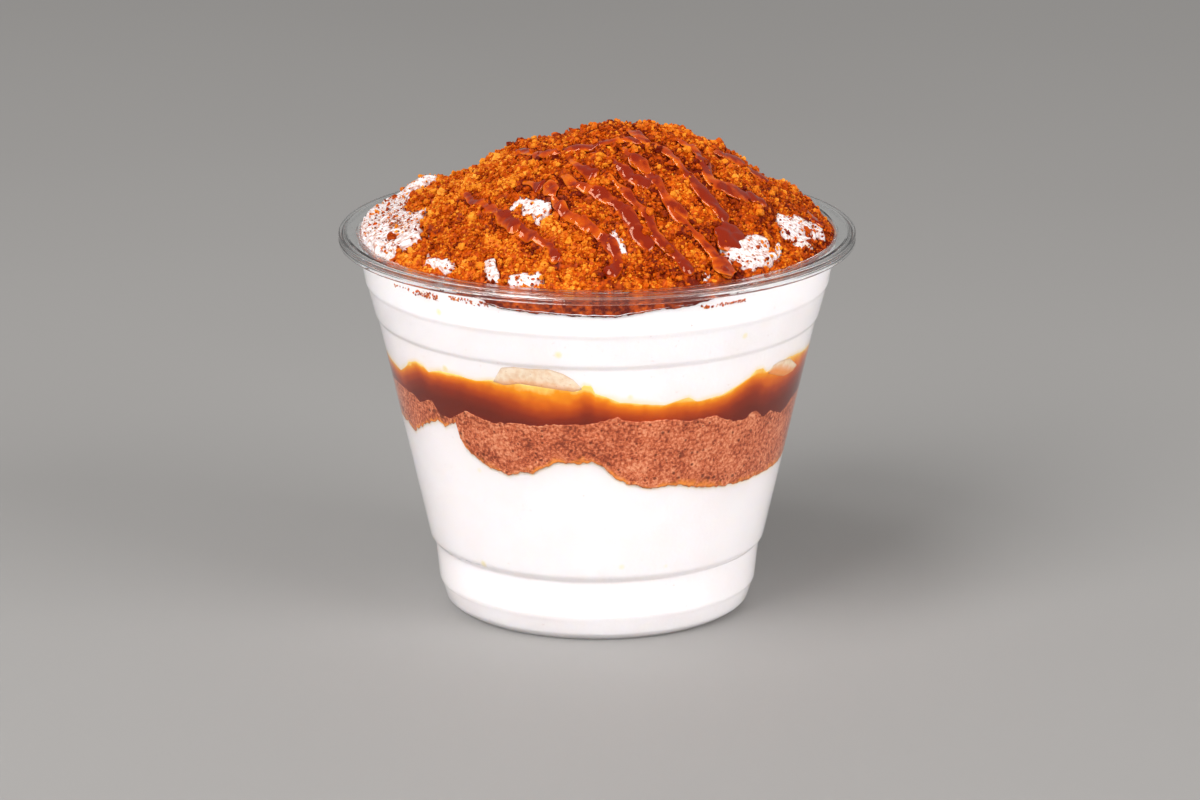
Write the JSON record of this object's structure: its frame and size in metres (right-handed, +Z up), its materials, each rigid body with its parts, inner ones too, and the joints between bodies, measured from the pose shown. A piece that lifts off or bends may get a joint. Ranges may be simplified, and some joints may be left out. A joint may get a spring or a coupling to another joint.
{
  "type": "layered tiramisu in a clear cup",
  "caption": "Clear tapered plastic cup filled with layers of cream, crushed biscuit and caramel, heaped with crumbs and a caramel drizzle.",
  "frame": {"origin": "centre of the cup's base, on the surface that its standing ring rests on", "axes": "+Z up along the cup's axis, -Y towards the front of the dessert as pictured, +X to its right"},
  "size_m": [0.098, 0.098, 0.094],
  "materials": {
    "clear_plastic": "clear thin PET, thermoformed, glossy",
    "cream": "smooth whipped mascarpone cream, softly matt",
    "biscuit": "damp crushed biscuit, granular",
    "caramel": "thick caramel sauce, glossy and translucent",
    "fruit": "moist pale fruit slice",
    "crumbs": "dry spiced biscuit crumbs with glossy caramel drizzle"
  },
  "bodies": {
    "root": {"cup": "clear_plastic", "cream_lower": "cream", "biscuit_layer": "biscuit", "caramel_layer": "caramel", "slice_front": "fruit", "slice_right": "fruit", "cream_upper": "cream", "crumb_topping": "crumbs"}
  },
  "joints": []
}
